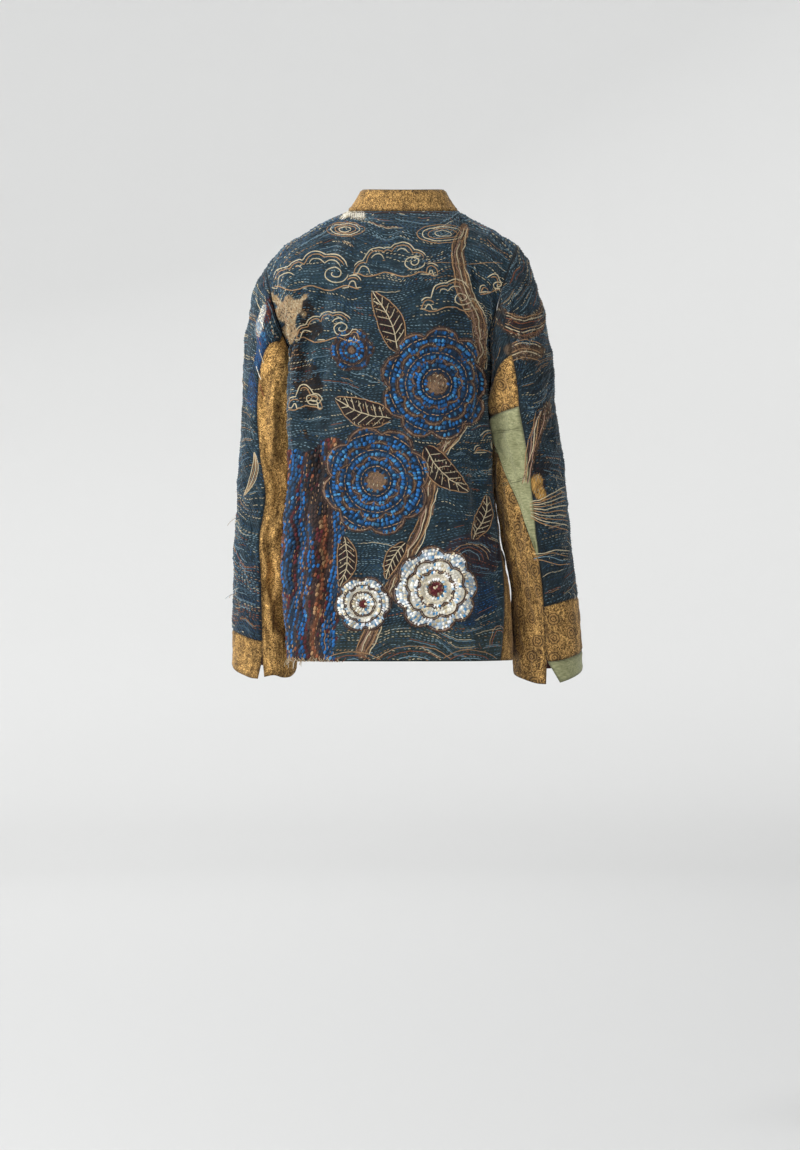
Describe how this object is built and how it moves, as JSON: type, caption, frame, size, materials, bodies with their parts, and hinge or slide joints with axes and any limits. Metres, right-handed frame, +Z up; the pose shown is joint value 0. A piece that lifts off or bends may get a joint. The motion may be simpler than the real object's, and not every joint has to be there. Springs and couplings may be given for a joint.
{
  "type": "quilted jacket",
  "caption": "Hip length quilted jacket with a stand collar, an open front and long patchwork sleeves slit at the cuff, in its hollow worn shape.",
  "frame": {"origin": "midway between the two points where the shoulder seams meet the collar, at the height of the base of the wearer's neck", "axes": "+Z up, +Y out of the wearer's back, so the open front faces -Y and the wearer's left is +X"},
  "size_m": [0.5816, 0.2585, 0.814],
  "materials": {
    "indigo_cloth": "hand stitched cotton, matt",
    "gold_cloth": "printed cotton, matt",
    "green_cloth": "woven cotton, matt"
  },
  "bodies": {
    "root": {"back": "indigo_cloth", "front_left": "indigo_cloth", "front_right": "indigo_cloth", "godet_right": "gold_cloth", "collar": "gold_cloth", "sleeve_left_upper": "indigo_cloth", "cuff_left": "gold_cloth", "sleeve_left_under": "gold_cloth", "sleeve_right_upper": "indigo_cloth", "cuff_right": "gold_cloth", "cuff_right_hem": "green_cloth", "sleeve_right_under_top": "indigo_cloth", "patch_right_gold": "gold_cloth", "patch_right_green": "green_cloth", "sleeve_right_under_low": "gold_cloth"}
  },
  "joints": []
}
